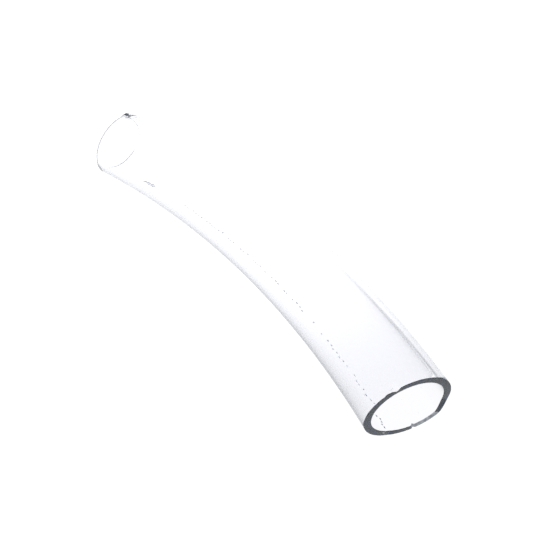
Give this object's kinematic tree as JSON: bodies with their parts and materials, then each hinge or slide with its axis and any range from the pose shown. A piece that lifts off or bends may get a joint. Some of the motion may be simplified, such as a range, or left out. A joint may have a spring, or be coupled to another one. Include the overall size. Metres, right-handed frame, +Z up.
{
  "type": "siphon hose",
  "caption": "Short length of clear flexible siphon hose, thin-walled and open at both ends, with a gentle bow and plain knife-cut ends.",
  "frame": {"origin": "middle of the bottom of the bounding box, on the surface that the hose lies on", "axes": "+Z up from that surface; +X along the chord from one cut end to the other; +Y towards the outside of the bow"},
  "size_m": [0.0996, 0.021, 0.0153],
  "materials": {
    "clear_vinyl": "clear soft vinyl, smooth and glossy, with a faint cool blue tint that shows dark slate at the cut ends"
  },
  "bodies": {
    "root": {"siphon_hose": "clear_vinyl"}
  },
  "joints": []
}
